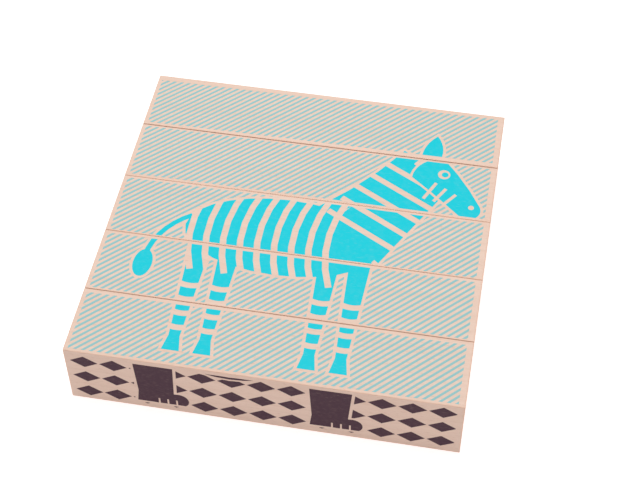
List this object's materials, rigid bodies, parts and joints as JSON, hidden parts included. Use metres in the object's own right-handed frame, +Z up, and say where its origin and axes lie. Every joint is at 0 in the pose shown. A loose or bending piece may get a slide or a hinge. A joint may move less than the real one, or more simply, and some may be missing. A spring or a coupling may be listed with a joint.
{
  "type": "turning bar picture puzzle",
  "caption": "Square picture puzzle of loose square wooden bars, each printed on its four long sides, that lie side by side and are turned to show another picture.",
  "frame": {"origin": "bottom centre of the row of bars, on the surface they lie on", "axes": "+X along the bars to the right of the picture, +Y towards the rear bar and the top of the picture, +Z up out of the zebra picture"},
  "size_m": [0.176, 0.176, 0.035],
  "materials": {
    "bare_wood": "fine sanded, unvarnished",
    "turquoise_ink": "thin silk-screen ink, slightly satin",
    "aubergine_ink": "thin silk-screen ink, slightly satin"
  },
  "bodies": {
    "bar_1": {"bar_1": "bare_wood"},
    "bar_2": {"bar_2": "bare_wood"},
    "bar_3": {"bar_3": "bare_wood"},
    "bar_4": {"bar_4": "bare_wood"},
    "bar_5": {"bar_5": "bare_wood"}
  },
  "joints": [
    {"name": "bar_1_tip_back", "type": "hinge", "parent": "bar_3", "child": "bar_1", "pos_m": [0, 0.08767, 0.0003], "axis": [-1, 0, 0], "range_deg": [0, 90]},
    {"name": "bar_2_slide", "type": "slide", "parent": "bar_3", "child": "bar_2", "axis": [1, 0, 0], "range_m": [-0.176, 0.176]},
    {"name": "bar_4_slide", "type": "slide", "parent": "bar_3", "child": "bar_4", "axis": [1, 0, 0], "range_m": [-0.176, 0.176]},
    {"name": "bar_5_tip_forward", "type": "hinge", "parent": "bar_3", "child": "bar_5", "pos_m": [0, -0.08767, 0.0003], "axis": [1, 0, 0], "range_deg": [0, 90]}
  ]
}
